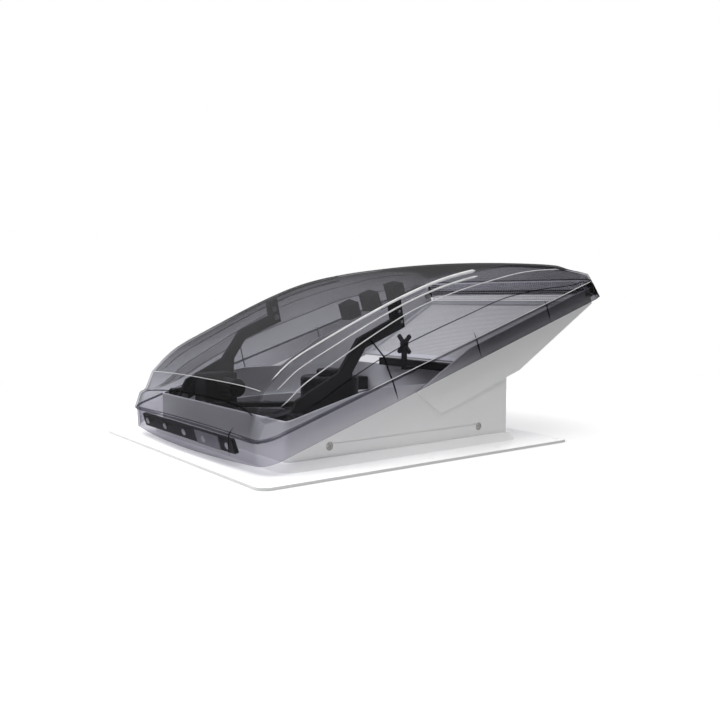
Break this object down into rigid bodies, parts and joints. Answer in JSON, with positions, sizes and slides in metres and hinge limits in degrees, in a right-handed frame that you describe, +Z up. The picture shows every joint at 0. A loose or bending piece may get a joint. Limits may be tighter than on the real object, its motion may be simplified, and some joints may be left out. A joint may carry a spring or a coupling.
{
  "type": "caravan roof vent",
  "caption": "Powered roof vent with a tilting smoke lid, fan in a round duct, folding side shroud and a square mounting flange.",
  "frame": {"origin": "centre of the flange's screw rectangle on its underside, which lies on the roof", "axes": "+Z up from the roof; -Y towards the hinged low end of the lid, +Y towards its raised end; +X completes the right-handed frame"},
  "size_m": [0.428, 0.5689, 0.2334],
  "materials": {
    "white": "satin moulded white",
    "smoke": "clear smoke tint, see-through",
    "black": "fine moulded black",
    "motor_black": "black satin",
    "grey": "matt grey",
    "steel": "zinc-plated",
    "mesh_white": "woven insect net",
    "mesh_grey": "woven insect net"
  },
  "bodies": {
    "base": {"mounting_flange": "white", "base_housing": "white", "screen_frame": "white", "motor_bracket": "black", "hinge_block_left": "black", "hinge_block_right": "black", "lift_gearbox": "black", "rear_rail": "black", "star_brace": "black", "control_box": "black", "motor_cap": "black", "fan_motor": "motor_black", "lift_motor": "motor_black", "side_screws": "steel", "bracket_screws": "steel", "hinge_pins": "steel", "insect_screen": "mesh_white"},
    "lid": {"lid_dome": "smoke", "lid_arm_left": "black", "lid_arm_right": "black", "arm_screws": "steel", "lift_sector": "black", "front_strip": "black", "strip_cover": "grey", "strip_screws": "steel", "lid_blocks": "black", "rear_cap": "black", "shroud_pins": "steel"},
    "shroud": {"shroud_panel_left": "white", "shroud_panel_right": "white", "rear_frame": "white", "rear_screen": "mesh_grey", "shroud_crossbar": "black", "top_screen": "mesh_grey"},
    "fan": {"fan_rotor": "black", "fan_shaft": "steel", "fan_nut": "steel"},
    "pinion": {"lift_pinion": "black"},
    "crank": {"lift_crank": "black"}
  },
  "joints": [
    {"name": "lid_tilt", "type": "hinge", "parent": "base", "child": "lid", "pos_m": [0, -0.1456, 0.05], "axis": [1, 0, 0], "range_deg": [-18, 0]},
    {"name": "shroud_fold", "type": "hinge", "parent": "lid", "child": "shroud", "pos_m": [0, 0.31471, 0.18695], "axis": [1, 0, 0], "range_deg": [-10, 0]},
    {"name": "lift_pinion_turn", "type": "hinge", "parent": "base", "child": "pinion", "pos_m": [-0.112, -0.10331, 0.06539], "axis": [1, 0, 0], "range_deg": [0, 72]},
    {"name": "lift_crank_turn", "type": "hinge", "parent": "base", "child": "crank", "pos_m": [-0.12, -0.11931, 0.06539], "axis": [0, 0, 1], "range_deg": [0, 1440]},
    {"name": "fan_spin", "type": "hinge", "parent": "base", "child": "fan", "pos_m": [0, 0, 0.027], "axis": [0, 0, 1], "continuous": true}
  ],
  "couplings": [
    {"joint": "shroud_fold", "follows": "lid_tilt", "ratio": 0.55556},
    {"joint": "lift_pinion_turn", "follows": "lid_tilt", "ratio": -4},
    {"joint": "lift_crank_turn", "follows": "lid_tilt", "ratio": -80}
  ]
}
